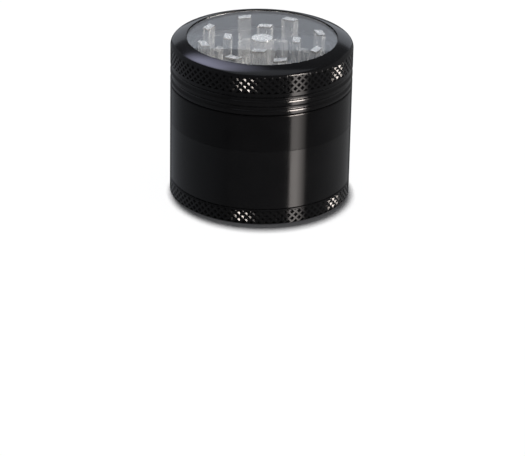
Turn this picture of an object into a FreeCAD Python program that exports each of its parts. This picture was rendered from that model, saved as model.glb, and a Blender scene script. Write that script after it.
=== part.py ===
"""Four-stage herb grinder with a clear window lid, closed, in millimetres.

Every stage is turned about Z and stands on the plane Z = 0. From the ground up:
tray, collection chamber with its sieve, grinding chamber with its clear tooth
plate, and the lid with its clear window and hanging teeth.
"""
import FreeCAD, Part
import math
import os
import Sketcher

# Driving dimensions: alias, value (millimetres, degrees or a count), meaning.
DIMENSIONS = [
    ("outer_radius", 25.0, "outside of every aluminium stage"),
    ("bore_radius", 20.6, "inside of the tray and of both chambers"),
    ("edge_chamfer", 0.35, "chamfer where two stages meet"),
    ("tray_seam", 4.4, "height of the seam between tray and collection chamber"),
    ("chamber_seam", 21.55, "height of the seam between the two chambers"),
    ("lid_seam", 31.9, "height of the seam between grinding chamber and lid"),
    ("overall_height", 45.0, "top edge of the lid ring"),
    ("running_gap", 0.1, "gap between the lid and what it turns on"),
    ("neck_radius", 22.5, "outside of a threaded neck"),
    ("neck_height", 4.0, "height of a threaded neck above its seam"),
    ("neck_chamfer", 0.4, "lead-in at the top of a neck"),
    ("thread_clearance", 0.08, "radial gap between a neck and its socket"),
    ("socket_relief", 0.2, "how much deeper a socket is than its neck"),
    ("tray_floor", 1.4, "thickness of the tray's floor"),
    ("cup_corner", 2.0, "radius between the tray's floor and wall"),
    ("lip_radius", 18.6, "clear opening through the sieve seat"),
    ("lip_height", 0.9, "thickness of the sieve seat"),
    ("screen_radius", 20.4, "sieve disc"),
    ("screen_height", 0.3, "thickness of the woven sieve"),
    ("ring_height", 1.2, "height of the sieve's retaining ring"),
    ("ring_radius", 20.5, "outside of the retaining ring"),
    ("plate_radius", 21.9, "tooth plate's flange"),
    ("plate_flange", 2.3, "thickness of the tooth plate's flange"),
    ("plate_seat_gap", 0.05, "glue gap around the tooth plate"),
    ("plate_step_radius", 20.45, "outer raised step of the tooth plate"),
    ("plate_step_height", 0.8, "rise of the outer step above the flange"),
    ("plate_middle_radius", 14.35, "inner raised step of the tooth plate"),
    ("plate_middle_height", 0.5, "rise of the inner step above the outer one"),
    ("hub_radius", 5.2, "outside of the pivot hub"),
    ("hub_height", 5.0, "height of the hub above the plate's inner step"),
    ("hub_floor", 1.2, "thickness under the hub's blind bore"),
    ("hub_gap", 0.05, "gap between the hub and the plate"),
    ("pivot_clearance", 0.08, "radial gap between post and hub bore"),
    ("outer_hole_ring", 16.5, "radius of the ring of outer drop holes"),
    ("outer_hole_radius", 2.2, "outer drop hole"),
    ("inner_hole_ring", 9.4, "radius of the ring of inner drop holes"),
    ("inner_hole_radius", 1.8, "inner drop hole"),
    ("hole_count", 8, "drop holes in each ring"),
    ("inner_hole_phase", 22.5, "angle of the first inner drop hole"),
    ("plate_tooth_ring", 13.0, "radius of the ring of plate teeth"),
    ("plate_tooth_count", 8, "teeth on the plate"),
    ("plate_tooth_phase", 22.5, "angle of the first plate tooth"),
    ("plate_tooth_height", 9.1, "height of a plate tooth"),
    ("lid_outer_ring", 16.5, "radius of the lid's outer ring of teeth"),
    ("lid_outer_count", 8, "teeth in the lid's outer ring"),
    ("lid_outer_phase", 17.5, "angle of the first outer tooth"),
    ("lid_inner_ring", 9.4, "radius of the lid's inner ring of teeth"),
    ("lid_inner_count", 4, "teeth in the lid's inner ring"),
    ("lid_inner_phase", 85.0, "angle of the first inner tooth"),
    ("lid_tooth_length", 12.9, "length of a lid tooth below the window"),
    ("tooth_width", 2.3, "size of a tooth along the radius"),
    ("tooth_length", 4.6, "size of a tooth around the ring"),
    ("tooth_skew", 0.7, "how far a tooth's long sides slide along each other"),
    ("post_radius", 3.0, "lid's centre post"),
    ("post_length", 13.4, "length of the post below the window"),
    ("post_chamfer", 0.5, "lead-in at the foot of the post"),
    ("turning_neck_radius", 22.9, "plain neck that the lid turns on"),
    ("turning_neck_height", 6.0, "height of the plain neck above its seam"),
    ("slip_ring_height", 0.6, "thickness of the slip ring"),
    ("slip_ring_bore", 21.0, "inside of the slip ring"),
    ("slip_ring_radius", 22.8, "outside of the slip ring"),
    ("window_radius", 20.6, "window seen from above"),
    ("window_recess", 0.25, "how far the window lies below the lid ring's top edge"),
    ("window_thickness", 1.25, "thickness of the window"),
    ("window_flange_radius", 21.9, "hidden flange of the window"),
    ("window_flange_height", 0.5, "thickness of the window's flange"),
    ("window_gap", 0.05, "glue gap around the window"),
    ("groove_height", 1.44, "height of one of the lid's two grooves"),
    ("groove_radius", 0.77, "radius of a groove's round section"),
    ("lower_groove", 33.24, "bottom edge of the lower groove"),
    ("upper_groove", 35.84, "bottom edge of the upper groove"),
    ("shoulder_inner", 20.8, "radius where the lid's shoulder starts to fall"),
    ("shoulder_crown", 18.0, "radius of the wide, nearly flat arc of the shoulder"),
    ("shoulder_rim_slope", 77.0, "degrees that the shoulder's normal rises at the window"),
    ("shoulder_meet_slope", 65.5, "the same where the tighter foot arc takes over"),
]


def make_sheet(doc):
    """Write the driving dimensions into the document's spreadsheet."""
    sheet = doc.addObject("Spreadsheet::Sheet", "Dims")
    for row, (alias, value, meaning) in enumerate(DIMENSIONS, start=1):
        sheet.set(f"A{row}", meaning)
        sheet.set(f"B{row}", str(value))
        sheet.setAlias(f"B{row}", alias)
    doc.recompute()
    return sheet


def origin_feature(body, role):
    """One of the body's own origin planes or axes, found by its role."""
    return next(item for item in body.Origin.OriginFeatures if item.Role == role)


def value_of(sheet, expression):
    """The number that an expression has for the present dimensions."""
    result = sheet.evalExpression(expression)
    return float(getattr(result, "Value", result))


def place_point(sketch, sheet, geometry, end, x_expression, y_expression):
    """Tie one end of a sketch element to two expressions."""
    axes = (("DistanceX", x_expression, -2), ("DistanceY", y_expression, -1))
    for kind, expression, axis in axes:
        value = value_of(sheet, expression)
        if abs(value) < 1e-9:
            sketch.addConstraint(Sketcher.Constraint("PointOnObject", geometry, end, axis))
            continue
        if value > 0:
            constraint = Sketcher.Constraint(kind, -1, 1, geometry, end, value)
        else:
            constraint = Sketcher.Constraint(kind, geometry, end, -1, 1, -value)
            expression = f"-({expression})"
        index = sketch.addConstraint(constraint)
        sketch.setExpression(f"Constraints[{index}]", expression)


def arc_between(start, end, radius, side):
    """Short arc from start to end; side 1 turns left on the way, -1 turns right."""
    chord = end - start
    middle = (start + end) * 0.5
    left = FreeCAD.Vector(-chord.y, chord.x, 0).normalize()
    centre = middle + left * side * math.sqrt(radius ** 2 - (chord.Length / 2) ** 2)
    top = centre + (middle - centre).normalize() * radius
    return Part.Arc(start, top, end)


def draw_outline(sketch, sheet, outline):
    """Closed loop through the outline's corners.

    A corner is (x, y), or (x, y, radius, side) when the element that leads on
    from it is an arc. Corners and radii are expressions.
    """
    spots = [FreeCAD.Vector(value_of(sheet, c[0]), value_of(sheet, c[1]), 0) for c in outline]
    joins = []
    for number, corner in enumerate(outline):
        start = spots[number]
        end = spots[(number + 1) % len(spots)]
        if len(corner) == 2:
            geometry = sketch.addGeometry(Part.LineSegment(start, end), False)
            joins.append((geometry, 1, 2))
            continue
        radius = value_of(sheet, corner[2])
        geometry = sketch.addGeometry(arc_between(start, end, radius, corner[3]), False)
        arc_starts_here = sketch.getPoint(geometry, 1).distanceToPoint(start) < 1e-6
        joins.append((geometry, 1, 2) if arc_starts_here else (geometry, 2, 1))
    for number, (geometry, first, last) in enumerate(joins):
        following, following_first, _ = joins[(number + 1) % len(joins)]
        sketch.addConstraint(
            Sketcher.Constraint("Coincident", geometry, last, following, following_first))
        place_point(sketch, sheet, geometry, first, *outline[number][:2])
        if len(outline[number]) == 4:
            radius = value_of(sheet, outline[number][2])
            index = sketch.addConstraint(Sketcher.Constraint("Radius", geometry, radius))
            sketch.setExpression(f"Constraints[{index}]", outline[number][2])


def new_body(doc, label, turn=0.0):
    """An empty body with its label, turned about Z by an angle in degrees."""
    body = doc.addObject("PartDesign::Body", label)
    body.Label = label
    body.AllowCompound = True
    rotation = FreeCAD.Rotation(FreeCAD.Vector(0, 0, 1), turn)
    body.Placement = FreeCAD.Placement(FreeCAD.Vector(0, 0, 0), rotation)
    return body


def new_sketch(body, plane, name, height="0"):
    """A sketch on one of the body's origin planes, raised by an expression."""
    sketch = body.newObject("Sketcher::SketchObject", name)
    sketch.AttachmentSupport = [(origin_feature(body, plane), "")]
    sketch.MapMode = "FlatFace"
    if height != "0":
        sketch.setExpression("AttachmentOffset.Base.z", height)
    return sketch


def turned_body(doc, sheet, label, outline):
    """A piece turned about Z from an outline of (radius, height) expressions."""
    body = new_body(doc, label)
    sketch = new_sketch(body, "XZ_Plane", label + "_outline")
    draw_outline(sketch, sheet, outline)
    turning = body.newObject("PartDesign::Revolution", label + "_turning")
    turning.Profile = sketch
    turning.ReferenceAxis = (sketch, ["V_Axis"])
    turning.Angle = 360
    doc.recompute()
    return body


def repeat_around(doc, body, feature, count):
    """Repeat a feature evenly about the body's Z axis."""
    pattern = body.newObject("PartDesign::PolarPattern", feature.Name + "_ring")
    pattern.Originals = [feature]
    pattern.Axis = (origin_feature(body, "Z_Axis"), [""])
    pattern.Angle = 360
    pattern.setExpression("Occurrences", count)
    body.Tip = pattern
    doc.recompute()


def tooth_ring(doc, sheet, label, kind, base, rise, upwards):
    """A ring of skewed teeth; kind is the start of its dimensions' names."""
    body = new_body(doc, label, sheet.get(kind + "_phase"))
    sketch = new_sketch(body, "XY_Plane", label + "_section", base)
    inner = f"Dims.{kind}_ring - Dims.tooth_width / 2"
    outer = f"Dims.{kind}_ring + Dims.tooth_width / 2"
    draw_outline(sketch, sheet, [
        (inner, "-Dims.tooth_length / 2 + Dims.tooth_skew"),
        (outer, "-Dims.tooth_length / 2"),
        (outer, "Dims.tooth_length / 2 - Dims.tooth_skew"),
        (inner, "Dims.tooth_length / 2"),
    ])
    tooth = body.newObject("PartDesign::Pad", label + "_tooth")
    tooth.Profile = sketch
    tooth.setExpression("Length", rise)
    tooth.Reversed = not upwards
    doc.recompute()
    repeat_around(doc, body, tooth, f"Dims.{kind}_count")
    return body


def drill_ring(doc, sheet, body, name, ring, radius, phase):
    """Drill a ring of round holes down through a plate."""
    volume_before = body.Shape.Volume
    sketch = new_sketch(body, "XY_Plane", name + "_circle", "Dims.overall_height")
    x_expression = f"{ring} * cos({phase} * 1 deg)"
    y_expression = f"{ring} * sin({phase} * 1 deg)"
    centre = FreeCAD.Vector(value_of(sheet, x_expression), value_of(sheet, y_expression), 0)
    circle = Part.Circle(centre, FreeCAD.Vector(0, 0, 1), value_of(sheet, radius))
    geometry = sketch.addGeometry(circle, False)
    place_point(sketch, sheet, geometry, 3, x_expression, y_expression)
    index = sketch.addConstraint(Sketcher.Constraint("Radius", geometry, circle.Radius))
    sketch.setExpression(f"Constraints[{index}]", radius)
    hole = body.newObject("PartDesign::Pocket", name)
    hole.Profile = sketch
    hole.Type = "ThroughAll"
    doc.recompute()
    repeat_around(doc, body, hole, "Dims.hole_count")
    one_hole = math.pi * circle.Radius ** 2 * value_of(sheet, "Dims.plate_flange")
    if volume_before - body.Shape.Volume < one_hole * sheet.get("hole_count"):
        raise RuntimeError(f"{name} didn't cut the plate")


def chamfered_seam(radius, height, above):
    """Two corners of a chamfered outer edge, in order of rising height."""
    if above:
        return [(radius, f"{height} - Dims.edge_chamfer"),
                (f"{radius} - Dims.edge_chamfer", height)]
    return [(f"{radius} - Dims.edge_chamfer", height),
            (radius, f"{height} + Dims.edge_chamfer")]


def threaded_neck(seam):
    """Corners of a threaded neck above a seam, from its foot to its inner rim."""
    top = f"{seam} + Dims.neck_height"
    return [
        ("Dims.neck_radius", seam),
        ("Dims.neck_radius", f"{top} - Dims.neck_chamfer"),
        ("Dims.neck_radius - Dims.neck_chamfer", top),
        ("Dims.bore_radius", top),
    ]


def make_tray(doc, sheet):
    """Knurled base ring and the shallow threaded cup that catches the powder."""
    outer = "Dims.outer_radius"
    return turned_body(doc, sheet, "tray", [
        ("0", "0"),
        (f"{outer} - Dims.edge_chamfer", "0"),
        (outer, "Dims.edge_chamfer"),
        *chamfered_seam(outer, "Dims.tray_seam", above=True),
        *threaded_neck("Dims.tray_seam"),
        ("Dims.bore_radius", "Dims.tray_floor + Dims.cup_corner", "Dims.cup_corner", -1),
        ("Dims.bore_radius - Dims.cup_corner", "Dims.tray_floor"),
        ("0", "Dims.tray_floor"),
    ])


def make_collection_chamber(doc, sheet):
    """Tall plain stage: socket below, sieve seat, chamber, threaded neck above."""
    outer = "Dims.outer_radius"
    socket = "Dims.neck_radius + Dims.thread_clearance"
    seat = "Dims.tray_seam + Dims.neck_height + Dims.socket_relief"
    return turned_body(doc, sheet, "collection_chamber", [
        (socket, "Dims.tray_seam"),
        *chamfered_seam(outer, "Dims.tray_seam", above=False),
        *chamfered_seam(outer, "Dims.chamber_seam", above=True),
        *threaded_neck("Dims.chamber_seam"),
        ("Dims.bore_radius", f"{seat} + Dims.lip_height"),
        ("Dims.lip_radius", f"{seat} + Dims.lip_height"),
        ("Dims.lip_radius", seat),
        (socket, seat),
    ])


def make_sieve(doc, sheet):
    """Woven steel sieve on its seat and the ring that holds it down."""
    seat = "Dims.tray_seam + Dims.neck_height + Dims.socket_relief + Dims.lip_height"
    top = f"{seat} + Dims.screen_height"
    mesh = turned_body(doc, sheet, "screen_mesh", [
        ("0", seat),
        ("Dims.screen_radius", seat),
        ("Dims.screen_radius", top),
        ("0", top),
    ])
    ring = turned_body(doc, sheet, "screen_ring", [
        ("Dims.lip_radius", top),
        ("Dims.ring_radius", top),
        ("Dims.ring_radius", f"{top} + Dims.ring_height"),
        ("Dims.lip_radius + Dims.ring_height / 2", f"{top} + Dims.ring_height"),
        ("Dims.lip_radius", f"{top} + Dims.ring_height / 2"),
    ])
    return [mesh, ring]


PLATE_UNDERSIDE = ("Dims.chamber_seam + Dims.neck_height + Dims.socket_relief"
                   " + Dims.plate_seat_gap")
PLATE_FLANGE_TOP = f"{PLATE_UNDERSIDE} + Dims.plate_flange"
PLATE_STEP_TOP = f"{PLATE_FLANGE_TOP} + Dims.plate_step_height"
PLATE_TOP = f"{PLATE_STEP_TOP} + Dims.plate_middle_height"
NECK_TOP = "Dims.lid_seam + Dims.turning_neck_height"
LEDGE = f"{NECK_TOP} + Dims.slip_ring_height"
WINDOW_TOP = "Dims.overall_height - Dims.window_recess"
WINDOW_UNDERSIDE = f"{WINDOW_TOP} - Dims.window_thickness"


def make_grinding_chamber(doc, sheet):
    """Short stage: socket below, plate seat, and the plain neck the lid turns on."""
    outer = "Dims.outer_radius"
    socket = "Dims.neck_radius + Dims.thread_clearance"
    socket_top = "Dims.chamber_seam + Dims.neck_height + Dims.socket_relief"
    pocket = "Dims.plate_radius + Dims.plate_seat_gap"
    neck = "Dims.turning_neck_radius"
    return turned_body(doc, sheet, "grinding_chamber", [
        (socket, "Dims.chamber_seam"),
        *chamfered_seam(outer, "Dims.chamber_seam", above=False),
        *chamfered_seam(outer, "Dims.lid_seam", above=True),
        (neck, "Dims.lid_seam"),
        (neck, f"{NECK_TOP} - Dims.edge_chamfer"),
        (f"{neck} - Dims.edge_chamfer", NECK_TOP),
        ("Dims.bore_radius + Dims.edge_chamfer", NECK_TOP),
        ("Dims.bore_radius", f"{NECK_TOP} - Dims.edge_chamfer"),
        ("Dims.bore_radius", PLATE_FLANGE_TOP),
        (pocket, PLATE_FLANGE_TOP),
        (pocket, socket_top),
        (socket, socket_top),
    ])


def make_tooth_plate(doc, sheet):
    """Clear stepped plate with two rings of drop holes, its hub and its teeth."""
    hub_hole = "Dims.hub_radius + Dims.hub_gap"
    plate = turned_body(doc, sheet, "tooth_plate", [
        (hub_hole, PLATE_UNDERSIDE),
        ("Dims.plate_radius", PLATE_UNDERSIDE),
        ("Dims.plate_radius", PLATE_FLANGE_TOP),
        ("Dims.plate_step_radius", PLATE_FLANGE_TOP),
        ("Dims.plate_step_radius", PLATE_STEP_TOP),
        ("Dims.plate_middle_radius", PLATE_STEP_TOP),
        ("Dims.plate_middle_radius", PLATE_TOP),
        (hub_hole, PLATE_TOP),
    ])
    drill_ring(doc, sheet, plate, "outer_hole", "Dims.outer_hole_ring",
               "Dims.outer_hole_radius", "0")
    drill_ring(doc, sheet, plate, "inner_hole", "Dims.inner_hole_ring",
               "Dims.inner_hole_radius", "Dims.inner_hole_phase")
    bore = "Dims.post_radius + Dims.pivot_clearance"
    hub_top = f"{PLATE_TOP} + Dims.hub_height"
    hub = turned_body(doc, sheet, "plate_hub", [
        ("0", PLATE_UNDERSIDE),
        ("Dims.hub_radius", PLATE_UNDERSIDE),
        ("Dims.hub_radius", f"{hub_top} - Dims.edge_chamfer"),
        ("Dims.hub_radius - Dims.edge_chamfer", hub_top),
        (f"{bore} + Dims.edge_chamfer", hub_top),
        (bore, f"{hub_top} - Dims.edge_chamfer"),
        (bore, f"{PLATE_UNDERSIDE} + Dims.hub_floor"),
        ("0", f"{PLATE_UNDERSIDE} + Dims.hub_floor"),
    ])
    teeth = tooth_ring(doc, sheet, "plate_teeth", "plate_tooth", PLATE_TOP,
                       "Dims.plate_tooth_height", upwards=True)
    return [plate, hub, teeth]


def make_slip_ring(doc, sheet):
    """Low-friction ring on the rim of the plain neck, which carries the lid."""
    return turned_body(doc, sheet, "slip_ring", [
        ("Dims.slip_ring_bore", NECK_TOP),
        ("Dims.slip_ring_radius", NECK_TOP),
        ("Dims.slip_ring_radius", LEDGE),
        ("Dims.slip_ring_bore", LEDGE),
    ])


def groove(bottom):
    """Corners of a round groove in the lid's side, from its lower edge up."""
    return [("Dims.outer_radius", bottom, "Dims.groove_radius", -1),
            ("Dims.outer_radius", f"{bottom} + Dims.groove_height")]


def shoulder():
    """Corners of the shoulder: a tight arc at its foot runs smoothly into a wide, flat one."""
    crown = "Dims.shoulder_crown"
    rim = "Dims.shoulder_rim_slope * 1 deg"
    meet = "Dims.shoulder_meet_slope * 1 deg"
    centre_r = f"(Dims.shoulder_inner - {crown} * cos({rim}))"
    centre_z = f"(Dims.overall_height - {crown} * sin({rim}))"
    join_r = f"({centre_r} + {crown} * cos({meet}))"
    join_z = f"({centre_z} + {crown} * sin({meet}))"
    foot = f"((Dims.outer_radius - {join_r}) / (1 - cos({meet})))"
    return [("Dims.outer_radius", f"{join_z} - {foot} * sin({meet})", foot, 1),
            (join_r, join_z, crown, 1),
            ("Dims.shoulder_inner", "Dims.overall_height")]


def make_lid_ring(doc, sheet):
    """Outer ring of the lid: turning bore, window seat, grooves and shoulder."""
    bore = "Dims.turning_neck_radius + Dims.running_gap"
    bottom = "Dims.lid_seam + Dims.running_gap"
    pocket = "Dims.window_flange_radius + Dims.window_gap"
    window = "Dims.window_radius + Dims.window_gap"
    flange_top = f"{WINDOW_UNDERSIDE} + Dims.window_flange_height"
    return turned_body(doc, sheet, "lid_ring", [
        (bore, bottom),
        *chamfered_seam("Dims.outer_radius", bottom, above=False),
        *groove("Dims.lower_groove"),
        *groove("Dims.upper_groove"),
        *shoulder(),
        (window, "Dims.overall_height"),
        (window, flange_top),
        (pocket, flange_top),
        (pocket, LEDGE),
        (bore, LEDGE),
    ])


def make_lid_window(doc, sheet):
    """Clear window with its hidden flange, post and two rings of teeth."""
    window = turned_body(doc, sheet, "lid_window", [
        ("0", WINDOW_UNDERSIDE),
        ("Dims.window_flange_radius", WINDOW_UNDERSIDE),
        ("Dims.window_flange_radius", f"{WINDOW_UNDERSIDE} + Dims.window_flange_height"),
        ("Dims.window_radius", f"{WINDOW_UNDERSIDE} + Dims.window_flange_height"),
        ("Dims.window_radius", WINDOW_TOP),
        ("0", WINDOW_TOP),
    ])
    foot = f"{WINDOW_UNDERSIDE} - Dims.post_length"
    post = turned_body(doc, sheet, "lid_post", [
        ("0", foot),
        ("Dims.post_radius - Dims.post_chamfer", foot),
        ("Dims.post_radius", f"{foot} + Dims.post_chamfer"),
        ("Dims.post_radius", WINDOW_UNDERSIDE),
        ("0", WINDOW_UNDERSIDE),
    ])
    outer_teeth = tooth_ring(doc, sheet, "lid_outer_teeth", "lid_outer", WINDOW_UNDERSIDE,
                             "Dims.lid_tooth_length", upwards=False)
    inner_teeth = tooth_ring(doc, sheet, "lid_inner_teeth", "lid_inner", WINDOW_UNDERSIDE,
                             "Dims.lid_tooth_length", upwards=False)
    return [window, post, outer_teeth, inner_teeth]


def check(doc, pieces):
    """Stop if any object failed or any piece has no valid solid."""
    failed = [o.Name for o in doc.Objects if {"Invalid", "Error"} & set(o.State)]
    if failed:
        raise RuntimeError(f"failed objects: {failed}")
    for piece in pieces:
        if piece.Shape.isNull() or not piece.Shape.isValid() or piece.Shape.Volume <= 0:
            raise RuntimeError(f"{piece.Label} has no valid shape")


def main():
    doc = FreeCAD.newDocument("Grinder")
    sheet = make_sheet(doc)
    pieces = [
        make_tray(doc, sheet),
        make_collection_chamber(doc, sheet),
        *make_sieve(doc, sheet),
        make_grinding_chamber(doc, sheet),
        *make_tooth_plate(doc, sheet),
        make_slip_ring(doc, sheet),
        make_lid_ring(doc, sheet),
        *make_lid_window(doc, sheet),
    ]
    doc.recompute()
    check(doc, pieces)
    os.makedirs("parts", exist_ok=True)
    for piece in pieces:
        piece.Shape.exportStep(f"parts/{piece.Label}.step")
        box = piece.Shape.BoundBox
        print(f"{piece.Label}: {len(piece.Shape.Solids)} solids, {piece.Shape.Volume:.1f} mm3, "
              f"z {box.ZMin:.2f} to {box.ZMax:.2f}, x to {box.XMax:.2f}")


main()
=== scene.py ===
"""Black aluminium herb grinder with a clear window lid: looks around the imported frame.

Lengths of shapes are in millimetres until a mesh is made, and MM turns them into metres.
Materials, lights and the camera are in metres.
"""
import math
import bmesh
import bpy
import numpy as np
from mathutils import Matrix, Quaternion, Vector


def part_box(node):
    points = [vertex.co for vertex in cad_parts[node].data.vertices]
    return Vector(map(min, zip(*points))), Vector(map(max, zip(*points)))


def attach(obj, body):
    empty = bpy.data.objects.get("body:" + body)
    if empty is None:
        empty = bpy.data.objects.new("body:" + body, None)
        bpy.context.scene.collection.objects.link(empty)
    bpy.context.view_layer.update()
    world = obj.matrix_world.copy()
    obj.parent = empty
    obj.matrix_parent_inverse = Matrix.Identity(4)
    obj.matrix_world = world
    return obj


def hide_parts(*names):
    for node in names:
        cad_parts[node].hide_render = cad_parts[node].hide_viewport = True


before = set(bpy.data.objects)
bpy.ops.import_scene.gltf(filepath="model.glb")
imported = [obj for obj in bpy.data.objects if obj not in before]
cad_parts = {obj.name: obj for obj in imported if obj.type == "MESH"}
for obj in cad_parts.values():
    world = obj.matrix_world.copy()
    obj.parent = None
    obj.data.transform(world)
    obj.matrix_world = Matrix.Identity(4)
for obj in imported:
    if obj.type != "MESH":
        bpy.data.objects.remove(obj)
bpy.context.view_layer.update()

MM = 0.001
PLAIN_COLUMNS = 152        # points round a plain turned surface
POST_COLUMNS = 76          # points round the lid's post and the plate's hub
HOLE_COLUMNS = 38          # points round a drop hole
SHARP_DEGREES = 32         # an edge that turns by more than this stays sharp
THREAD_COLUMNS = 304       # points round a thread
KNURL_CELLS = 76           # diamonds round a knurled band
KNURL_STEPS = 6            # mesh steps across half a diamond
KNURL_COLUMNS = KNURL_CELLS * 2 * KNURL_STEPS
KNURL_CELL_HEIGHT = 1.95
KNURL_FLAT = 1 / 3         # share of a half diamond that stays flat as the lattice
KNURL_DEPTH = 0.455
THREAD_PITCH = 1.5
THREAD_DEPTH = 0.75
THREAD_CREST = 0.2         # crest width as a share of the pitch
THREAD_FLANK = 0.25        # flank width as a share of the pitch
THREAD_FADE = 0.4          # height over which a thread fades at each end
ACRYLIC_IOR = 1.49


def low(node):
    """Height of a CAD node's underside."""
    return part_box(node)[0].z / MM


def high(node):
    """Height of a CAD node's top."""
    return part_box(node)[1].z / MM


def reach(node):
    """Outer radius of a round CAD node."""
    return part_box(node)[1].x / MM


OUTER = reach("tray")
BORE = 20.6                # inside of the tray and the chambers
NECK = 22.5                # outside of a threaded neck
SOCKET = 22.58             # root of a socket's thread
SOCKET_MOUTH = 0.35        # chamfer at a socket's mouth
SIEVE_LIP = 18.6           # inner radius of the sieve's seat and of its ring
PLATE_FLANGE = 2.3         # thickness of the tooth plate's flange
TRAY_SEAM = low("collection_chamber")
CHAMBER_SEAM = low("grinding_chamber")
LID_SEAM = low("lid_ring")
TOP = high("lid_ring")
WINDOW_UNDERSIDE = low("lid_window")
WINDOW_TOP = high("lid_window")
WINDOW_FLANGE = 0.5        # thickness of the window's hidden flange
WINDOW_RIM = 20.8          # radius where the lid's shoulder ends at its top
EDGE = 0.3                 # chamfer at a stage's outer edges
FINE_EDGE = 0.07           # the same at the seam between the two chambers
EDGE_SLOPE = 0.57          # run of a steep edge for its height


# ---------------------------------------------------------------- mesh helpers

def unit(vector):
    """The same direction, one long."""
    return vector / np.linalg.norm(vector)


def rounded(corners, closed=True, steps=3):
    """Outline through (r, z, fillet) corners, each fillet as a short arc."""
    outline = []
    count = len(corners)
    for number, (r, z, fillet) in enumerate(corners):
        here = np.array((r, z), float)
        at_end = not closed and number in (0, count - 1)
        if fillet == 0 or at_end:
            outline.append(here)
            continue
        back = unit(np.array(corners[number - 1][:2]) - here)
        on = unit(np.array(corners[(number + 1) % count][:2]) - here)
        half = math.acos(np.clip(back @ on, -1, 1)) / 2
        centre = here + unit(back + on) * fillet / math.sin(half)
        start = unit(here + back * fillet / math.tan(half) - centre)
        end = unit(here + on * fillet / math.tan(half) - centre)
        sweep = math.acos(np.clip(start @ end, -1, 1))
        for step in range(steps + 1):
            share = step / steps
            blend = start * math.sin((1 - share) * sweep)
            blend = blend + end * math.sin(share * sweep)
            outline.append(centre + blend / math.sin(sweep) * fillet)
    return outline


def circle(radius, height, columns=PLAIN_COLUMNS):
    """A row of points round Z; the radius may differ from point to point."""
    if np.isscalar(radius) and radius == 0:
        return np.array([[0.0, 0.0, height]])
    angle = np.arange(columns) * 2 * math.pi / columns
    radius = np.broadcast_to(radius, (columns,))
    height = np.full(columns, float(height))
    return np.column_stack((radius * np.cos(angle), radius * np.sin(angle), height))


def circles(outline, columns=PLAIN_COLUMNS):
    """A row of points for each (r, z) of an outline."""
    return [circle(r, z, columns) for r, z in outline]


def capped(rows):
    """Rows with a point at the middle of the first and the last, to close them."""
    return [rows[0].mean(0, keepdims=True), *rows, rows[-1].mean(0, keepdims=True)]


def bridge(first, first_count, second, second_count, slants=None):
    """Faces between two rows of points; one row may have a multiple of the other's."""
    if first_count < second_count:
        faces = bridge(second, second_count, first, first_count)
        return [face[::-1] for face in faces]
    ratio = first_count // second_count
    faces = []
    for j in range(second_count):
        near = second + j
        far = second + (j + 1) % second_count
        if ratio == 1:
            a = first + j
            b = first + (j + 1) % first_count
            if slants is None:
                faces.append((a, b, far, near))
            elif slants[j]:
                faces += [(a, b, far), (a, far, near)]
            else:
                faces += [(a, b, near), (b, far, near)]
            continue
        for i in range(ratio):
            a = first + (ratio * j + i) % first_count
            b = first + (ratio * j + i + 1) % first_count
            faces.append((a, b, near))
        if second_count > 1:
            faces.append((first + ratio * (j + 1) % first_count, far, near))
    return faces


def skin(rows, closed, slants=None):
    """Vertices and faces of a surface through rows; slants maps a row to its splits."""
    slants = slants or {}
    starts = np.cumsum([0] + [len(row) for row in rows])
    faces = []
    last = len(rows) if closed else len(rows) - 1
    for number in range(last):
        other = (number + 1) % len(rows)
        faces += bridge(int(starts[number]), len(rows[number]),
                        int(starts[other]), len(rows[other]), slants.get(number))
    return np.vstack(rows), faces


def make_piece(name, parts, materials, sharp_degrees=SHARP_DEGREES):
    """One mesh object from (vertices, faces) or (vertices, faces, material) parts."""
    vertices = []
    faces = []
    indices = []
    offset = 0
    for part in parts:
        points, part_faces = part[:2]
        vertices.append(points)
        faces += [tuple(i + offset for i in face) for face in part_faces]
        indices += [part[2] if len(part) == 3 else 0] * len(part_faces)
        offset += len(points)
    mesh = bpy.data.meshes.new(name)
    mesh.from_pydata((np.vstack(vertices) * MM).tolist(), [], faces)
    mesh.polygons.foreach_set("material_index", indices)
    for material in materials:
        mesh.materials.append(material)
    mesh.shade_smooth()
    mesh.set_sharp_from_angle(angle=math.radians(sharp_degrees))
    mesh.update()
    piece = bpy.data.objects.new(name, mesh)
    bpy.context.scene.collection.objects.link(piece)
    return piece


def fix_normals(piece):
    """Point every face outwards."""
    work = bmesh.new()
    work.from_mesh(piece.data)
    bmesh.ops.recalc_face_normals(work, faces=work.faces)
    work.to_mesh(piece.data)
    work.free()
    return piece


def place(piece, body, slot, *nodes):
    """Hang a piece on its body and let it stand for CAD nodes; its slot is not used."""
    fix_normals(piece)
    even = piece.modifiers.new("even_shading", "WEIGHTED_NORMAL")
    even.keep_sharp = True
    even.weight = 100
    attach(piece, body)
    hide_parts(*nodes)
    return piece


# ------------------------------------------------------------ knurl and thread

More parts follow.
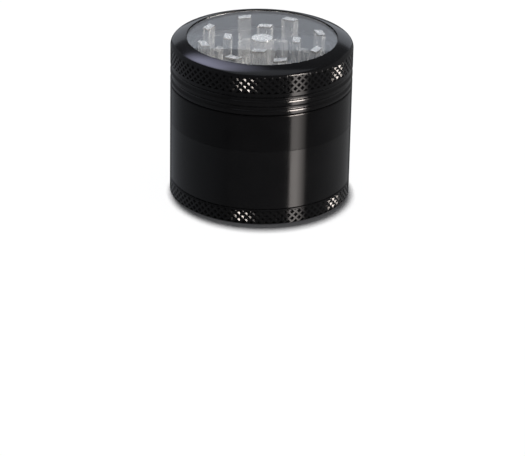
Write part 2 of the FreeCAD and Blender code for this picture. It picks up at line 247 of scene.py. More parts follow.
def knurl_rows(bottom, top, limit, run_out=0.0):
    """Rows and splits of a band cut with diamond pits, never outside limit(z).

    The pits grow shallow over the last run_out below the band's top.
    """
    cell = 2 * KNURL_STEPS
    step = KNURL_CELL_HEIGHT / cell
    count = int((top - bottom) / step)
    column = np.arange(KNURL_COLUMNS)
    across = np.abs((column + KNURL_STEPS) % cell - KNURL_STEPS) / KNURL_STEPS
    rising = column % cell < KNURL_STEPS
    rows = []
    slants = {}
    for number in range(count + 1):
        height = bottom + number * step
        up = abs((number + KNURL_STEPS) % cell - KNURL_STEPS) / KNURL_STEPS
        near = np.minimum(across + up, 2 - across - up)
        pit = np.clip((1 - KNURL_FLAT - near) / (1 - KNURL_FLAT), 0, 1)
        depth = KNURL_DEPTH
        if run_out:
            depth = KNURL_DEPTH * min(1, (top - height) / run_out)
        radius = np.minimum(OUTER - depth * pit, limit(height))
        rows.append(circle(radius, height, KNURL_COLUMNS))
        upper_half = number % cell < KNURL_STEPS
        slants[number] = rising != upper_half
    return rows, slants


def add_band(rows, bottom, top, limit, run_out=0.0):
    """Add a knurled band to a piece's rows, and return the splits between its rows."""
    start = len(rows)
    band, slants = knurl_rows(bottom, top, limit, run_out)
    rows += band
    return {start + number: split for number, split in slants.items()
            if number < len(band) - 1}


def ridge(phase):
    """Height of a thread's ridge, 0 to 1, at a phase counted in turns."""
    away = np.abs((phase + 0.5) % 1 - 0.5)
    return np.clip((THREAD_CREST / 2 + THREAD_FLANK - away) / THREAD_FLANK, 0, 1)


def thread_rows(bottom, top, outside, limit=None):
    """Rows of a right-hand thread, on a neck inside limit(z) or in a socket.

    There are about twelve rows to a turn.
    """
    turns = (top - bottom) / THREAD_PITCH
    count = 8 * round(turns * 1.5)
    turn = np.arange(THREAD_COLUMNS) / THREAD_COLUMNS
    rows = []
    for height in np.linspace(bottom, top, count + 1):
        phase = height / THREAD_PITCH - turn
        full = min(1, (height - bottom) / THREAD_FADE, (top - height) / THREAD_FADE)
        if outside:
            radius = NECK - THREAD_DEPTH * (1 - ridge(phase) * full)
            radius = np.minimum(radius, limit(height))
        else:
            radius = SOCKET - THREAD_DEPTH * ridge(phase + 0.5) * full
        rows.append(circle(radius, height, THREAD_COLUMNS))
    return rows


def neck_rows(seam, top):
    """A threaded neck above a seam, from its foot to its inner rim."""
    foot = NECK - THREAD_DEPTH
    lead = 0.45            # how far the crest is cut back at the top of the thread
    lead_slope = 0.9
    rim = 0.25
    rows = circles([(foot, seam)], THREAD_COLUMNS)
    rows += thread_rows(seam + 0.15, top - 0.12, True,
                        lambda z: NECK - lead + (top - z) * lead_slope)
    rows += circles(rounded([(foot, top - 0.05, 0), (foot - 0.05, top, 0),
                             (BORE + rim, top, 0.08), (BORE, top - rim, 0.08),
                             (BORE, top - 1.0, 0)], closed=False), THREAD_COLUMNS)
    return rows


def socket_rows(top, seam):
    """A threaded socket seen from its ceiling down to its mouth at the seam."""
    rows = circles([(SOCKET, top)], THREAD_COLUMNS)
    rows += thread_rows(seam + 0.5, top - 0.2, False)[::-1]
    rows += circles([(SOCKET, seam + SOCKET_MOUTH), (SOCKET + SOCKET_MOUTH, seam)],
                    THREAD_COLUMNS)
    return rows


# ------------------------------------------------------------------- materials

def new_material(name):
    """A material with its nodes, its links and its main shader."""
    material = bpy.data.materials.new(name)
    material.use_nodes = True
    nodes = material.node_tree.nodes
    links = material.node_tree.links
    return material, nodes, links, nodes["Principled BSDF"]


def add_node(nodes, kind, **values):
    """A new node; each value sets an attribute of it, or else an input."""
    node = nodes.new(kind)
    for key, value in values.items():
        if hasattr(node, key):
            setattr(node, key, value)
        else:
            node.inputs[key.replace("_", " ")].default_value = value
    return node


def object_position(nodes):
    """Where a point is on its own piece, in metres."""
    return add_node(nodes, "ShaderNodeTexCoord").outputs["Object"]


def multiplied(nodes, links, position, factors):
    """A position with each of its coordinates multiplied by a factor."""
    product = add_node(nodes, "ShaderNodeVectorMath", operation="MULTIPLY")
    product.inputs[1].default_value = factors
    links.new(position, product.inputs[0])
    return product.outputs["Vector"]


def noise(nodes, links, position, scale, detail):
    """Noise with about scale patches to a metre."""
    texture = add_node(nodes, "ShaderNodeTexNoise", Scale=scale, Detail=detail)
    links.new(position, texture.inputs["Vector"])
    return texture.outputs["Fac"]


def turning_marks(nodes, links, position, lines_per_mm):
    """Noise that runs in rings, as a lathe leaves it: it varies with r and z only."""
    length = add_node(nodes, "ShaderNodeVectorMath", operation="LENGTH")
    links.new(multiplied(nodes, links, position, (1, 1, 0)), length.inputs[0])
    split = add_node(nodes, "ShaderNodeSeparateXYZ")
    links.new(position, split.inputs["Vector"])
    total = add_node(nodes, "ShaderNodeMath", operation="ADD")
    links.new(length.outputs["Value"], total.inputs[0])
    links.new(split.outputs["Z"], total.inputs[1])
    marks = add_node(nodes, "ShaderNodeTexNoise", noise_dimensions="1D",
                     Scale=lines_per_mm / MM, Detail=2.0)
    links.new(total.outputs["Value"], marks.inputs["W"])
    return marks.outputs["Fac"]


def ranged(nodes, links, source, lowest, highest, socket):
    """Drive a socket between two values with the middle of a noise's range."""
    spread = add_node(nodes, "ShaderNodeMapRange")
    spread.inputs["From Min"].default_value = 0.3
    spread.inputs["From Max"].default_value = 0.7
    spread.inputs["To Min"].default_value = lowest
    spread.inputs["To Max"].default_value = highest
    links.new(source, spread.inputs["Value"])
    links.new(spread.outputs["Result"], socket)


def tint(nodes, links, source, first, last, shader):
    """Colour a shader from one tone to another as a noise rises."""
    ramp = add_node(nodes, "ShaderNodeValToRGB")
    ramp.color_ramp.elements[0].color = (*first, 1)
    ramp.color_ramp.elements[1].color = (*last, 1)
    links.new(source, ramp.inputs["Fac"])
    links.new(ramp.outputs["Color"], shader.inputs["Base Color"])


def emboss(nodes, links, source, strength, distance, shader):
    """Raise a shader's surface with a noise."""
    bump = add_node(nodes, "ShaderNodeBump", Strength=strength, Distance=distance)
    links.new(source, bump.inputs["Height"])
    links.new(bump.outputs["Normal"], shader.inputs["Normal"])


def anodised_black(name, specular):
    """Dyed anodised aluminium: near-black satin with fine turning marks."""
    material, nodes, links, shader = new_material(name)
    shader.inputs["Specular IOR Level"].default_value = specular
    position = object_position(nodes)
    cloud = noise(nodes, links, position, 160.0, 4.0)
    tint(nodes, links, cloud, (0.0016, 0.0016, 0.0018), (0.0034, 0.0034, 0.0038), shader)
    ranged(nodes, links, cloud, 0.11, 0.15, shader.inputs["Roughness"])
    marks = turning_marks(nodes, links, position, 9.0)
    emboss(nodes, links, marks, 0.25, 0.000004, shader)
    return material


def clear_acrylic():
    """Polished clear acrylic, very slightly wavy, with faint patches of haze."""
    material, nodes, links, shader = new_material("window_acrylic")
    shader.inputs["Transmission Weight"].default_value = 1.0
    shader.inputs["IOR"].default_value = ACRYLIC_IOR
    position = object_position(nodes)
    cloud = noise(nodes, links, position, 420.0, 3.0)
    tint(nodes, links, cloud, (0.91, 0.92, 0.93), (0.97, 0.98, 0.99), shader)
    ranged(nodes, links, cloud, 0.0, 0.02, shader.inputs["Roughness"])
    wave = noise(nodes, links, position, 900.0, 2.0)
    emboss(nodes, links, wave, 0.02, 0.00004, shader)
    return material


def streaked_acrylic():
    """Cloudy moulded acrylic whose haze runs in streaks along the teeth."""
    material, nodes, links, shader = new_material("tooth_acrylic")
    shader.inputs["IOR"].default_value = ACRYLIC_IOR
    squeezed = multiplied(nodes, links, object_position(nodes), (1, 1, 0.3))
    streaks = noise(nodes, links, squeezed, 750.0, 3.0)
    tint(nodes, links, streaks, (0.66, 0.66, 0.65), (0.88, 0.88, 0.87), shader)
    ranged(nodes, links, streaks, 0.08, 0.3, shader.inputs["Roughness"])
    ranged(nodes, links, streaks, 0.98, 0.86, shader.inputs["Transmission Weight"])
    emboss(nodes, links, streaks, 0.25, 0.00008, shader)
    return material


def mottled_acrylic():
    """Pale crackle inside the moulding where a tooth or the post leaves its disc."""
    material, nodes, links, shader = new_material("acrylic_crackle")
    shader.inputs["Transmission Weight"].default_value = 0.75
    shader.inputs["IOR"].default_value = 1.08
    cells = add_node(nodes, "ShaderNodeTexVoronoi", Scale=1300.0)
    links.new(object_position(nodes), cells.inputs["Vector"])
    crackle = cells.outputs["Distance"]
    tint(nodes, links, crackle, (0.62, 0.64, 0.67), (0.3, 0.32, 0.35), shader)
    ranged(nodes, links, crackle, 0.15, 0.45, shader.inputs["Roughness"])
    emboss(nodes, links, crackle, 0.6, 0.0002, shader)
    return material


def woven_steel():
    """Fine stainless wire, warm grey, with dust-dulled patches."""
    material, nodes, links, shader = new_material("woven_steel")
    shader.inputs["Metallic"].default_value = 0.9
    patches = noise(nodes, links, object_position(nodes), 260.0, 4.0)
    tint(nodes, links, patches, (0.34, 0.29, 0.24), (0.56, 0.53, 0.49), shader)
    ranged(nodes, links, patches, 0.28, 0.5, shader.inputs["Roughness"])
    return material


def dark_nylon():
    """Dark nylon with a faint moulded grain."""
    material, nodes, links, shader = new_material("dark_nylon")
    shader.inputs["Subsurface Weight"].default_value = 0.15
    shader.inputs["Subsurface Radius"].default_value = (0.001, 0.001, 0.0008)
    grain = noise(nodes, links, object_position(nodes), 1500.0, 3.0)
    tint(nodes, links, grain, (0.012, 0.012, 0.013), (0.022, 0.022, 0.023), shader)
    ranged(nodes, links, grain, 0.35, 0.5, shader.inputs["Roughness"])
    emboss(nodes, links, grain, 0.2, 0.00002, shader)
    return material


BLACK = anodised_black("anodised_black", 0.3)
DULL_BLACK = anodised_black("anodised_black_dull", 0.18)
STEEL = woven_steel()
NYLON = dark_nylon()
CLEAR_FINISHES = [clear_acrylic(), streaked_acrylic(), mottled_acrylic()]
TOOTH_FINISH = 1           # places of the teeth's and the crackle's finish in that list
CRACKLE_FINISH = 2


# ---------------------------------------------------------------- metal pieces

def make_tray():
    """Knurled base ring, plain ledge, threaded neck and shallow cup."""
    floor = 1.4
    cup_corner = 2.0
    cup_wall = 6           # any height on the cup's wall, to aim its corner
    band_low = 0.45
    band_high = TRAY_SEAM - 0.4
    rows = [circle(0, 0)]
    rows += circles(rounded([(0, 0, 0), (OUTER - EDGE, 0, 0.12), (OUTER, EDGE, 0)],
                            closed=False)[1:])
    slants = add_band(rows, band_low, band_high, lambda z: OUTER)
    rows += circles([(OUTER, TRAY_SEAM - EDGE), (OUTER - 0.05, TRAY_SEAM - 0.12),
                     (OUTER - 0.15, TRAY_SEAM - 0.03), (OUTER - EDGE, TRAY_SEAM)])
    rows += neck_rows(TRAY_SEAM, high("tray"))
    rows += circles(rounded([(BORE, cup_wall, 0), (BORE, floor, cup_corner), (0, floor, 0)],
                            closed=False, steps=8)[1:-1])
    rows.append(circle(0, floor))
    piece = make_piece("tray_turned", [skin(rows, False, slants)], [BLACK])
    return place(piece, "tray_stage", "anodised_black", "tray")


def stage_wall(seam, lower_edge, next_seam, upper_edge, upper_run):
    """Outer wall of a stage, with its two broken outer edges."""
    return circles(rounded([(SOCKET + SOCKET_MOUTH, seam, 0), (OUTER - lower_edge, seam, 0),
                            (OUTER, seam + lower_edge, 0.1),
                            (OUTER, next_seam - upper_edge, 0.02),
                            (OUTER - upper_run, next_seam, 0.02),
                            (NECK, next_seam, 0)], closed=False)[1:])


def make_collection_chamber():
    """Tall plain stage with its socket, sieve seat and threaded neck."""
    seat = low("screen_mesh")
    socket_top = seat - 0.9
    rows = stage_wall(TRAY_SEAM, EDGE, CHAMBER_SEAM, FINE_EDGE, FINE_EDGE)
    rows += neck_rows(CHAMBER_SEAM, high("collection_chamber"))
    rows += circles([(BORE, seat), (SIEVE_LIP, seat), (SIEVE_LIP, socket_top)])
    rows += socket_rows(socket_top, TRAY_SEAM)
    piece = make_piece("collection_chamber_turned", [skin(rows, True)], [BLACK])
    return place(piece, "collection_stage", "anodised_black", "collection_chamber")


def make_grinding_chamber():
    """Short stage with its socket, plate seat and the plain neck under the lid."""
    top = high("grinding_chamber")
    neck = 22.9
    rim = 0.35
    pocket = reach("tooth_plate") + 0.05
    flange_top = low("tooth_plate") + PLATE_FLANGE
    socket_top = low("tooth_plate") - 0.05
    lid_seam = LID_SEAM - 0.1
    rows = stage_wall(CHAMBER_SEAM, FINE_EDGE, lid_seam, EDGE, EDGE_SLOPE * EDGE)[:-1]
    rows += circles(rounded([
        (neck, lid_seam, 0), (neck, top - rim, 0.15), (neck - rim, top, 0.1),
        (BORE + rim, top, 0.1), (BORE, top - rim, 0.15), (BORE, flange_top, 0),
        (pocket, flange_top, 0), (pocket, socket_top, 0)], closed=False))
    rows += socket_rows(socket_top, CHAMBER_SEAM)
    piece = make_piece("grinding_chamber_turned", [skin(rows, True)], [DULL_BLACK])
    return place(piece, "grinding_stage", "anodised_black", "grinding_chamber")


def shoulder_arcs():
    """The lid's shoulder: a wide, flat arc over a tight foot arc, as (r, z, radius) each.

    The third result is the height where they meet.
    """
    wide = 18.0
    rim_slope = math.radians(77)
    meet_slope = math.radians(65.5)
    wide_r = WINDOW_RIM - wide * math.cos(rim_slope)
    wide_z = TOP - wide * math.sin(rim_slope)
    tight = (OUTER - wide_r - wide * math.cos(meet_slope)) / (1 - math.cos(meet_slope))
    foot_z = wide_z + (wide - tight) * math.sin(meet_slope)
    meet_z = wide_z + wide * math.sin(meet_slope)
    return (wide_r, wide_z, wide), (OUTER - tight, foot_z, tight), meet_z


def shoulder_radius(height):
    """Radius of the lid's outside at a height on its shoulder, or of the wall below it."""
    wide, foot, meet_z = shoulder_arcs()
    if height <= foot[1]:
        return OUTER
    r, z, radius = foot if height <= meet_z else wide
    return r + math.sqrt(radius ** 2 - (height - z) ** 2)


def groove_outline(bottom, tall, deep):
    """Round groove with a steep, flat lower lip and a soft upper one, listed upwards."""
    steps = 6
    lip = 0.12
    ease = 0.06
    radius = (tall ** 2 / 4 + deep ** 2) / (2 * deep)
    middle = bottom + tall / 2
    centre = OUTER - deep + radius
    reach_up = math.asin(tall / 2 / radius)
    outline = []
    for step in range(-steps, steps + 1):
        angle = reach_up * step / steps
        outline.append((centre - radius * math.cos(angle),
                        middle + radius * math.sin(angle)))
    inner_r, inner_z = outline[1]
    steep = (OUTER - inner_r) / EDGE_SLOPE
    flat = [(OUTER - share * (OUTER - inner_r), inner_z - (1 - share) * steep)
            for share in (0, ease, 1 - ease)]
    outline[-1] = (OUTER, bottom + tall + lip)
    return flat + outline[1:]


def make_lid_ring():
    """Lid ring: two round grooves, knurled band, smooth shoulder, window seat."""
    neck_bore = 23.0
    mouth = 0.3
    pocket = reach("lid_window") + 0.05
    window = 20.65
    ledge = high("slip_ring")
    lip = WINDOW_UNDERSIDE + WINDOW_FLANGE
    lower_groove = 33.24
    upper_groove = 35.84
    tall = 1.44            # height and depth of each groove
    deep = 0.5
    band_low = 38.43
    band_high = 43.33
    run_out = 0.5
    shoulder_steps = 14
    rows = circles(rounded([(neck_bore, LID_SEAM, 0), (OUTER - EDGE, LID_SEAM, 0.1),
                            (OUTER, LID_SEAM + EDGE, 0.15), (OUTER, lower_groove, 0)],
                           closed=False)[1:-1])
    for bottom in (lower_groove, upper_groove):
        rows += circles(groove_outline(bottom, tall, deep))
    rows.append(circle(OUTER, band_low - 0.1))
    slants = add_band(rows, band_low, band_high, shoulder_radius, run_out)
    for height in np.linspace(band_high + 0.05, TOP, shoulder_steps)[:-1]:
        rows.append(circle(shoulder_radius(height), height))
    rows += circles(rounded([
        (WINDOW_RIM, TOP, 0), (window, TOP, 0.06), (window, lip, 0), (pocket, lip, 0),
        (pocket, ledge, 0.1), (neck_bore, ledge, 0), (neck_bore, LID_SEAM + mouth, 0),
        (neck_bore + mouth, LID_SEAM, 0)], closed=False))
    piece = make_piece("lid_ring_turned", [skin(rows, True, slants)], [BLACK])
    return place(piece, "lid", "anodised_black", "lid_ring")


def make_turned(name, corners, material, body, slot, node):
    """A plain ring turned from a closed outline of (r, z, fillet) corners."""
    rows = circles(rounded(corners))
    piece = make_piece(name, [skin(rows, True)], [material])
    return place(piece, body, slot, node)


def make_rings():
    """The sieve's retaining ring and the nylon slip ring under the lid."""
    bottom, top = low("screen_ring"), high("screen_ring")
    outer = reach("screen_ring")
    slope = 0.6
    make_turned("screen_ring_turned", [
        (SIEVE_LIP, bottom, 0.1), (outer, bottom, 0.1), (outer, top, 0.15),
        (SIEVE_LIP + slope, top, 0.2), (SIEVE_LIP, top - slope, 0.2)],
        BLACK, "sieve", "ring_aluminium", "screen_ring")
    bottom, top = low("slip_ring"), high("slip_ring")
    inner = 21.0
    outer = 22.8
    edge = 0.12
    make_turned("slip_ring_turned", [
        (inner, bottom, edge), (outer, bottom, edge), (outer, top, edge), (inner, top, edge)],
        NYLON, "grinding_stage", "slip_nylon", "slip_ring")


def make_sieve():
    """Plain-woven wire cloth: each wire rises over one neighbour and under the next."""
    pitch = 0.7
    wire = 0.13
    flatness = 0.55        # height of a wire for its width
    sides = 5
    edge = reach("screen_mesh") - 0.15
    middle = (low("screen_mesh") + high("screen_mesh")) / 2
    swing = 0.075
    wires = int(edge / pitch)
    turn = np.arange(sides) * 2 * math.pi / sides
    parts = []
    for number in range(-wires, wires + 1):
        offset = number * pitch
        row_sign = (-1) ** (number % 2)
        half = math.sqrt(edge ** 2 - offset ** 2)
        steps = max(2, int(2 * half / pitch * 2))
        along = np.linspace(-half, half, steps + 1)
        for warp in (True, False):
            sign = 1 if warp else -1
            rise = sign * swing * np.cos(math.pi * along / pitch) * row_sign
            rows = []
            for place_along, lift in zip(along, rise):
                side = offset + wire * np.cos(turn)
                height = middle + lift + wire * flatness * np.sin(turn)
                run = np.full(sides, place_along)
                columns = (side, run, height) if warp else (run, side, height)
                rows.append(np.column_stack(columns))
            parts.append(skin(capped(rows), False))
    piece = make_piece("screen_mesh_woven", parts, [STEEL], 60)
    return place(piece, "sieve", "woven_steel", "screen_mesh")


# ---------------------------------------------------------------- clear pieces

TOOTH_WIDTH = 2.3
TOOTH_LENGTH = 4.6
TOOTH_SKEW = 0.7
TOOTH_CORNER = 0.28
BURIED = 0.4                       # how far a tooth's root reaches into its disc
LID_OUTER_RING = (16.5, 8, 17.5)   # radius, count and first angle, here and below
LID_INNER_RING = (9.4, 4, 85.0)
PLATE_RING = (13.0, 8, 22.5)
OUTER_HOLES = (16.5, 8, 0.0)
INNER_HOLES = (9.4, 8, 22.5)


def ring_angles(count, phase):
    """Angles of a ring's members, from a first one in degrees."""
    return [math.radians(phase + number * 360 / count) for number in range(count)]


def on_ring(outline, ring, angle):
    """A flat outline moved out to a ring's radius and turned to an angle."""
    turn = np.array([[math.cos(angle), -math.sin(angle)], [math.sin(angle), math.cos(angle)]])
    return (outline + (ring, 0)) @ turn.T


def tooth_section(shrink):
    """Skewed tooth section about its own centre, with rounded corners."""
    half_width = TOOTH_WIDTH / 2 - shrink
    half_length = TOOTH_LENGTH / 2 - shrink
    return np.array(rounded([
        (-half_width, -half_length + TOOTH_SKEW, TOOTH_CORNER),
        (half_width, -half_length, TOOTH_CORNER),
        (half_width, half_length - TOOTH_SKEW, TOOTH_CORNER),
        (-half_width, half_length, TOOTH_CORNER)]))


def tooth(ring, angle, root, tip):
    """One tapered tooth with a rounded tip, which starts inside its disc."""
    length = abs(tip - root)
    direction = 1 if tip > root else -1
    taper = 0.12
    tip_edge = 0.3
    # distance from the disc, and how far the section has shrunk there
    stations = [(-BURIED, 0.0), (0.0, 0.0), (length * 0.5, taper / 2),
                (length - tip_edge, taper), (length - 0.1, taper + 0.1),
                (length, taper + tip_edge)]
    rows = []
    for distance, shrink in stations:
        section = on_ring(tooth_section(shrink), ring, angle)
        height = np.full((len(section), 1), root + direction * distance)
        rows.append(np.hstack((section, height)))
    return skin(capped(rows), False)


def tooth_ring(ring, count, phase, root, tip):
    """A ring of teeth, to fuse with their disc."""
    return [tooth(ring, angle, root, tip) for angle in ring_angles(count, phase)]


def crackle_lens(outline, ring, angle, height):
    """A thin flat inclusion at a root, in the outline of the stud below it."""
    thick = 0.1
    flat = on_ring(outline, ring, angle)
    rows = [np.hstack((flat, np.full((len(flat), 1), height + rise))) for rise in (0, thick)]
    return (*skin(capped(rows), False), CRACKLE_FINISH)


def crackle_ring(ring, count, phase, height):
    """The inclusions at the roots of a ring of teeth."""
    outline = tooth_section(0.12)
    return [crackle_lens(outline, ring, angle, height) for angle in ring_angles(count, phase)]


def merge(piece, parts):
    """Add loose parts to a finished piece's mesh."""
    extra = make_piece(piece.name + "_extra", parts, CLEAR_FINISHES)
    fix_normals(extra)
    work = bmesh.new()
    work.from_mesh(piece.data)
    work.from_mesh(extra.data)
    work.to_mesh(piece.data)
    work.free()
    bpy.data.objects.remove(extra)


def combine(piece, tools, operation):
    """Fuse tools with a piece, or cut them from it, then weld points left too close."""
    close = 0.002 * MM
    group = bpy.data.collections.new(piece.name + "_tools")
    for tool in tools:
        group.objects.link(tool)
    change = piece.modifiers.new("combine", "BOOLEAN")
    change.operation = operation
    change.operand_type = "COLLECTION"
    change.collection = group
    change.solver = "EXACT"
    bpy.context.view_layer.update()
    graph = bpy.context.evaluated_depsgraph_get()
    mesh = bpy.data.meshes.new_from_object(piece.evaluated_get(graph))
    piece.modifiers.clear()
    piece.data = mesh
    for tool in tools:
        bpy.data.objects.remove(tool)
    bpy.data.collections.remove(group)
    work = bmesh.new()
    work.from_mesh(mesh)
    bmesh.ops.remove_doubles(work, verts=work.verts, dist=close)
    bmesh.ops.dissolve_degenerate(work, edges=work.edges, dist=close)
    work.to_mesh(mesh)
    work.free()
    mesh.shade_smooth()
    mesh.set_sharp_from_angle(angle=math.radians(SHARP_DEGREES))


def make_tool(piece_name, part):
    """A loose part to fuse with a clear piece or to cut from it."""
    return fix_normals(make_piece(piece_name + "_tool", [part], CLEAR_FINISHES))


def fuse(name, disc, studs):
    """Fuse a disc and the studs that reach into it into one moulding."""
    piece = fix_normals(make_piece(name, [disc], CLEAR_FINISHES))
    combine(piece, [make_tool(name, (*stud, TOOTH_FINISH)) for stud in studs], "UNION")
    return piece


def drill_plate(piece, ring, count, phase, radius):
    """Cut a ring of round holes through a fused plate."""
    bottom = low("tooth_plate") - 0.5
    top = high("tooth_plate") + 0.5
    drills = []
    for angle in ring_angles(count, phase):
        rows = [circle(0, bottom), circle(radius, bottom, HOLE_COLUMNS),
                circle(radius, top, HOLE_COLUMNS), circle(0, top)]
        points, faces = skin(rows, False)
        points = points + (ring * math.cos(angle), ring * math.sin(angle), 0)
        drills.append(make_tool(piece.name, (points, faces)))
    combine(piece, drills, "DIFFERENCE")


def make_lid_moulding():
    """Window disc, hidden flange, centre post and two rings of teeth in one moulding."""
    flange = reach("lid_window")
    lip = WINDOW_UNDERSIDE + WINDOW_FLANGE - 0.02
    window = 20.6
    rows = [circle(0, WINDOW_UNDERSIDE)]
    rows += circles(rounded([
        (0, WINDOW_UNDERSIDE, 0), (flange, WINDOW_UNDERSIDE, 0.1), (flange, lip, 0.1),
        (window, lip, 0.05), (window, WINDOW_TOP, 0.15), (0, WINDOW_TOP, 0)],
        closed=False)[1:-1])
    rows.append(circle(0, WINDOW_TOP))
    post_radius = reach("lid_post")
    root = WINDOW_UNDERSIDE + BURIED
    foot = low("lid_post")
    foot_edge = 0.5
    side = rounded([(post_radius, root, 0), (post_radius, foot + foot_edge, 0.3),
                    (post_radius - foot_edge, foot, 0.15), (0, foot, 0)], closed=False)[:-1]
    post = [circle(0, root), *circles(side, POST_COLUMNS), circle(0, foot)]
    studs = tooth_ring(*LID_OUTER_RING, WINDOW_UNDERSIDE, low("lid_outer_teeth"))
    studs += tooth_ring(*LID_INNER_RING, WINDOW_UNDERSIDE, low("lid_inner_teeth"))
    studs.append(skin(post, False))
    piece = fuse("lid_moulding", skin(rows, False), studs)
    level = WINDOW_TOP - 0.4
    post_outline = circle(post_radius - 0.15, 0, POST_COLUMNS)[:, :2]
    merge(piece, [*crackle_ring(*LID_OUTER_RING, level), *crackle_ring(*LID_INNER_RING, level),
                  crackle_lens(post_outline, 0, 0, level)])
    return place(piece, "lid", "clear_acrylic", "lid_window", "lid_post", "lid_outer_teeth",
                 "lid_inner_teeth")


def make_hub():
    """Pivot hub of the tooth plate, with its blind bore."""
    bottom, top = low("plate_hub"), high("plate_hub")
    radius = reach("plate_hub")
    bore = 3.08
    floor = bottom + 1.2
    side = rounded([(0, bottom, 0), (radius, bottom, 0.1), (radius, top, 0.35),
                    (bore, top, 0.3), (bore, floor, 0.2), (0, floor, 0)], closed=False)
    rows = [circle(0, bottom), *circles(side[1:-1], POST_COLUMNS), circle(0, floor)]
    piece = make_piece("plate_hub_moulded", [skin(rows, False)],
                       [CLEAR_FINISHES[TOOTH_FINISH]])
    return place(piece, "pivot_hub", "clear_acrylic", "plate_hub")


def make_plate_moulding():
    """Stepped disc with drop holes and its ring of teeth in one moulding."""
    bottom = low("tooth_plate")
    top = high("tooth_plate")
    edge = reach("tooth_plate")
    flange_top = bottom + PLATE_FLANGE
    step = bottom + 3.1
    step_edge = 20.45
    land_edge = 14.35
    hub_hole = 5.25
    rows = circles(rounded([
        (hub_hole, bottom, 0.1), (edge, bottom, 0.15), (edge, flange_top, 0.15),
        (step_edge, flange_top, 0), (step_edge, step, 0.2),
        (land_edge, step, 0), (land_edge, top, 0.15), (hub_hole, top, 0.1)]))
    studs = tooth_ring(*PLATE_RING, top, high("plate_teeth"))
    piece = fuse("plate_moulding", skin(rows, True), studs)
    drill_plate(piece, *OUTER_HOLES, 2.2)
    drill_plate(piece, *INNER_HOLES, 1.8)
    return place(piece, "grinding_stage", "clear_acrylic", "tooth_plate", "plate_teeth")


# -------------------------------------------------------------------- the stage

def fade(nodes, links, position, near, far):
    """Light along one side of a panel: it rises over near and falls over far."""
    least = 0.001          # a side that doesn't fade still needs some width
    rise = add_node(nodes, "ShaderNodeMapRange")
    rise.inputs["From Max"].default_value = max(near, least)
    links.new(position, rise.inputs["Value"])
    fall = add_node(nodes, "ShaderNodeMapRange")
    fall.inputs["From Min"].default_value = 1
    fall.inputs["From Max"].default_value = 1 - max(far, least)
    links.new(position, fall.inputs["Value"])
    both = add_node(nodes, "ShaderNodeMath", operation="MULTIPLY")
    links.new(rise.outputs["Result"], both.inputs[0])
    links.new(fall.outputs["Result"], both.inputs[1])
    return both.outputs["Value"]


def soften(data, left, right, lower, upper):
    """Fade a panel towards its edges, each over a share of its size."""
    data.use_nodes = True
    nodes = data.node_tree.nodes
    links = data.node_tree.links
    split = add_node(nodes, "ShaderNodeSeparateXYZ")
    links.new(add_node(nodes, "ShaderNodeNewGeometry").outputs["Parametric"],
              split.inputs["Vector"])
    strength = add_node(nodes, "ShaderNodeMath", operation="MULTIPLY")
    links.new(fade(nodes, links, split.outputs["X"], left, right), strength.inputs[0])
    links.new(fade(nodes, links, split.outputs["Y"], lower, upper), strength.inputs[1])
    links.new(strength.outputs["Value"], nodes["Emission"].inputs["Strength"])


def add_panel(name, azimuth, elevation, width, height, radiance, colour=(1, 1, 1),
              soft=None, distance=1.0):
    """A soft box, hidden from the camera. Azimuth 0 is the viewer's side, + is the right.

    It stands distance metres from the grinder, which sees it width by height degrees wide
    and tall. Soft has the shares of its size over which its left, right, lower and upper
    sides fade.
    """
    aim = Vector((0, 0, 0.022))
    angle = math.radians(azimuth)
    tilt = math.radians(elevation)
    out = Vector((math.sin(angle) * math.cos(tilt), -math.cos(angle) * math.cos(tilt),
                  math.sin(tilt)))
    data = bpy.data.lights.new(name, "AREA")
    data.shape = "RECTANGLE"
    data.size = 2 * distance * math.tan(math.radians(width) / 2)
    data.size_y = 2 * distance * math.tan(math.radians(height) / 2)
    data.energy = radiance * data.size * data.size_y * math.pi
    data.color = colour
    if soft:
        soften(data, *soft)
    light = bpy.data.objects.new(name, data)
    light.location = aim + out * distance
    light.rotation_euler = (-out).to_track_quat("-Z", "Y").to_euler()
    light.visible_camera = False
    bpy.context.scene.collection.objects.link(light)
    return light


def make_floor():
    """Pale floor, which reflections look past."""
    mesh = bpy.data.meshes.new("floor")
    half = 3.0
    corners = [(-half, -half, 0), (half, -half, 0), (half, half, 0), (-half, half, 0)]
    mesh.from_pydata(corners, [], [(0, 1, 2, 3)])
    floor = bpy.data.objects.new("floor", mesh)
    bpy.context.scene.collection.objects.link(floor)
    material, _, _, shader = new_material("floor_white")
    shader.inputs["Base Color"].default_value = (0.93, 0.93, 0.93, 1)
    shader.inputs["Roughness"].default_value = 1.0
    shader.inputs["Specular IOR Level"].default_value = 0.0
    mesh.materials.append(material)
    floor.visible_glossy = False
    floor.visible_shadow = False
    return floor


def link_lights(lights, objects, state):
    """Let lights reach everything but some objects, or nothing but them."""
    group = bpy.data.collections.new("lit_" + lights[0].name)
    for piece in objects:
        group.objects.link(piece)
    for member in group.collection_objects:
        member.light_linking.link_state = state
    for light in lights:
        light.light_linking.receiver_collection = group


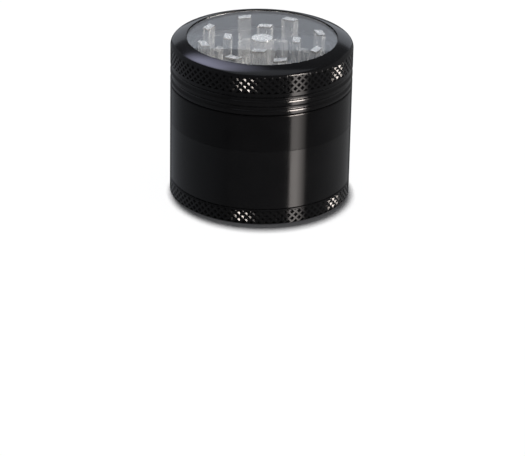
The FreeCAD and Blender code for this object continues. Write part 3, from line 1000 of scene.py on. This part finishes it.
def make_lights(floor, clear):
    """A dim room with soft boxes; the walls mirror what lies a little below level.

    Of the panels, the floor has only the overhead one. The bright ones would turn the
    window into a mirror from other sides, so they are kept off the clear pieces, which
    have two broad ones of their own.
    """
    world = bpy.data.worlds.new("studio")
    bpy.context.scene.world = world
    world.use_nodes = True
    background = world.node_tree.nodes["Background"]
    background.inputs["Color"].default_value = (0.92, 0.95, 1.0, 1)
    background.inputs["Strength"].default_value = 0.10
    warm = (1.0, 0.93, 0.89)
    cool = (0.86, 0.91, 1.0)
    violet = (0.74, 0.75, 1.0)
    link_lights([
        add_panel("side_left", -97, -5, 115, 100, 0.18, cool, soft=(0, 0.5, 0, 0)),
        add_panel("side_right", 107, -5, 95, 90, 0.17, soft=(0.5, 0, 0, 0)),
        add_panel("front", 5, -20, 80, 60, 0.05),
        add_panel("backdrop", 180, 11.4, 50, 22.14, 0.7, cool),
        add_panel("backdrop_top", 180, 22.83, 50, 0.68, 0.85, (0.84, 0.9, 1.0)),
        add_panel("ceiling", 180, 88, 50, 50, 0.7, cool),
    ], [floor], "EXCLUDE")
    link_lights([
        add_panel("strip", 49.0, -15, 19.4, 62, 0.47, warm),
        add_panel("strip_glow", 49.0, -15, 19.4, 62, 5.7, warm, soft=(0, 0.6, 0, 0),
                  distance=1.05),
        add_panel("strip_tall", 49.0, 22, 19.4, 20, 8, warm),
        add_panel("shoulder_glow", -156, 53, 30, 34, 6.2, violet, soft=(0.6, 0.3, 0.3, 0.35)),
        add_panel("key", 47.4, 32, 16, 6, 56, (1.0, 0.9, 0.83)),
    ], [floor, *clear], "EXCLUDE")
    link_lights([
        add_panel("clear_fill", 50, 45, 90, 50, 1.6, warm),
        add_panel("clear_side", 78, 42, 34, 30, 13.0, (1.0, 0.94, 0.86)),
    ], clear, "INCLUDE")
    overhead = add_panel("overhead", -173, 85.2, 3, 5, 700, distance=4.0)
    overhead.visible_glossy = False
    overhead.visible_transmission = False


def make_camera():
    """Long lens looking down at the closed grinder, which sits high in the frame."""
    distance = 0.72427
    elevation = math.radians(22.99)
    centre = Vector((0, 0, 0.023))
    aim = Vector((0.001157, 0, -0.012861))
    roll = math.radians(-1.169)
    out = Vector((0, -math.cos(elevation), math.sin(elevation)))
    data = bpy.data.cameras.new("camera")
    data.lens = 179.66
    data.sensor_width = 36.0
    data.clip_start = 0.01
    data.clip_end = 20.0
    camera = bpy.data.objects.new("camera", data)
    camera.location = centre + out * distance
    towards = aim - camera.location
    look = towards.to_track_quat("-Z", "Y")
    camera.rotation_mode = "QUATERNION"
    camera.rotation_quaternion = Quaternion(towards.normalized(), roll) @ look
    bpy.context.scene.collection.objects.link(camera)
    bpy.context.scene.camera = camera


make_camera()
make_tray()
make_collection_chamber()
make_grinding_chamber()
make_lid_ring()
make_rings()
make_sieve()
clear_pieces = [make_lid_moulding(), make_plate_moulding(), make_hub()]
for clear_piece in clear_pieces:
    clear_piece.visible_shadow = False
make_lights(make_floor(), clear_pieces)
bpy.context.scene.view_settings.view_transform = "Standard"
